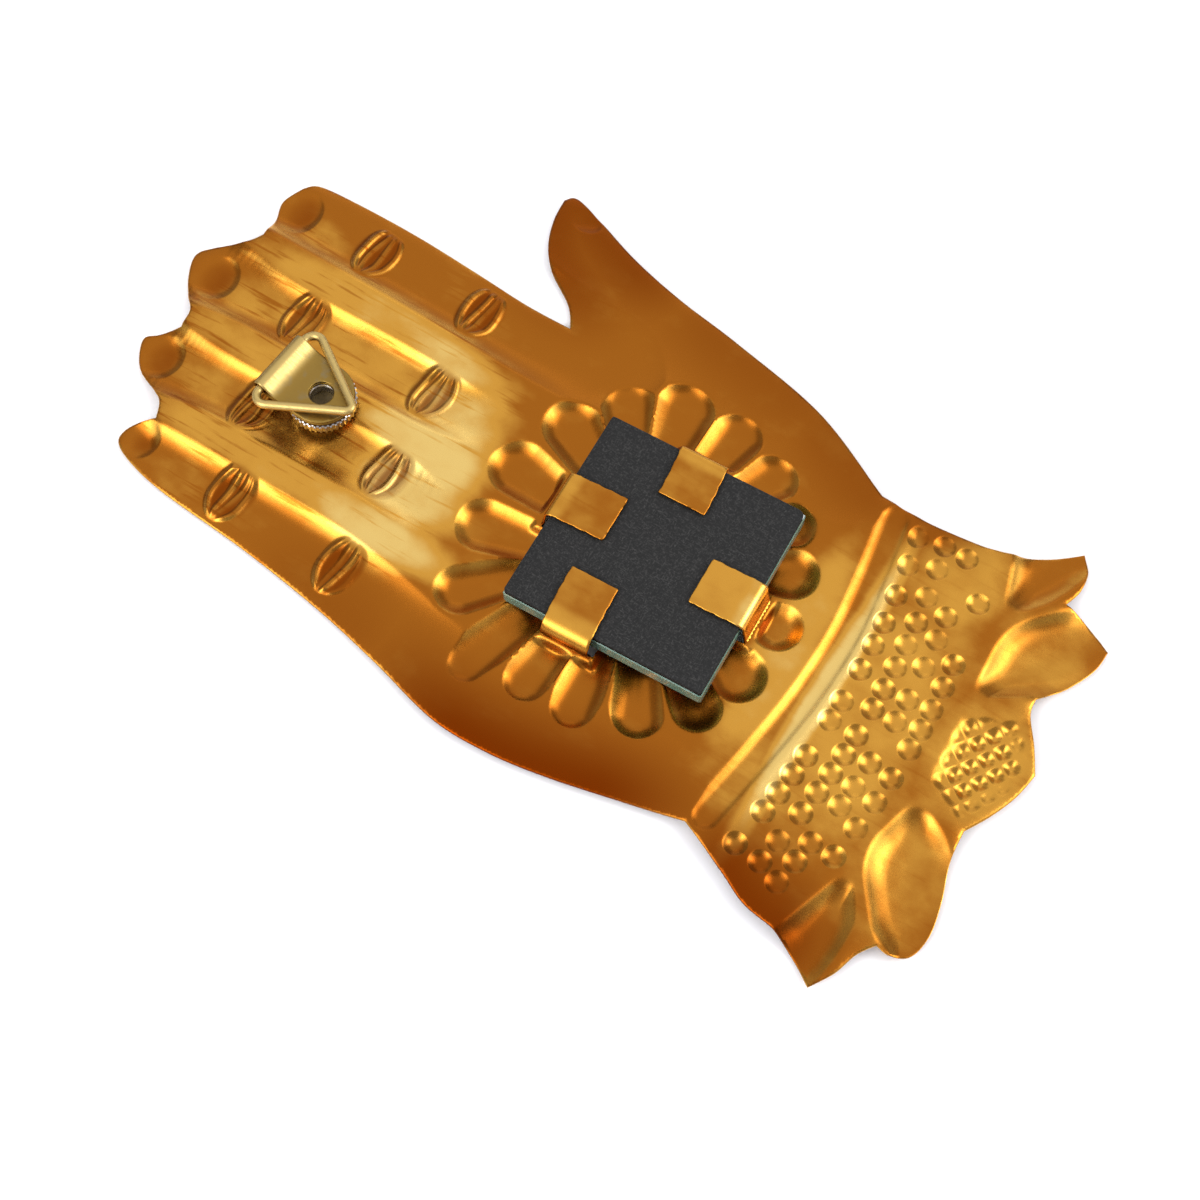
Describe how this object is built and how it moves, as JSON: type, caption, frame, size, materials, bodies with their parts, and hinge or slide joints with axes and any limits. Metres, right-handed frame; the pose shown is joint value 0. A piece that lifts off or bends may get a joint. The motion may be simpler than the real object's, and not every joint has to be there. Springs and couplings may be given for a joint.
{
  "type": "hand milagro",
  "caption": "Pressed brass hand with a flower round a tab-held square mirror, a beaded cuff with leaves, and a swinging triangle ring on the back to hang it by.",
  "frame": {"origin": "middle of the object's box in plan, on the surface that its front lies on", "axes": "+Y to the fingertips, +X to the thumb, +Z out of the back of the hand, away from the surface"},
  "size_m": [0.1054, 0.178, 0.0102],
  "materials": {
    "lacquered_brass": "brown lacquer wiped off the high places, satin",
    "mirror_glass": "silvered glass with a pale green cut edge",
    "black_card": "matt, with fine pale fibres",
    "set_filler": "dull set filler",
    "plated_steel": "silvery, milled edge",
    "plain_brass": "pale brass, slightly dull"
  },
  "bodies": {
    "hand": {"hand_plate": "lacquered_brass", "mirror_glass": "mirror_glass", "backing_card": "black_card", "adhesive_pad": "set_filler", "spacer_disc": "plated_steel", "hanger_strap": "plain_brass"},
    "ring": {"hanger_ring": "plain_brass"}
  },
  "joints": [
    {"name": "ring_swing", "type": "hinge", "parent": "hand", "child": "ring", "pos_m": [-0.00769, 0.05887, 0.008], "axis": [-0.9965, 0.0837, 0], "range_deg": [0, 175]}
  ]
}
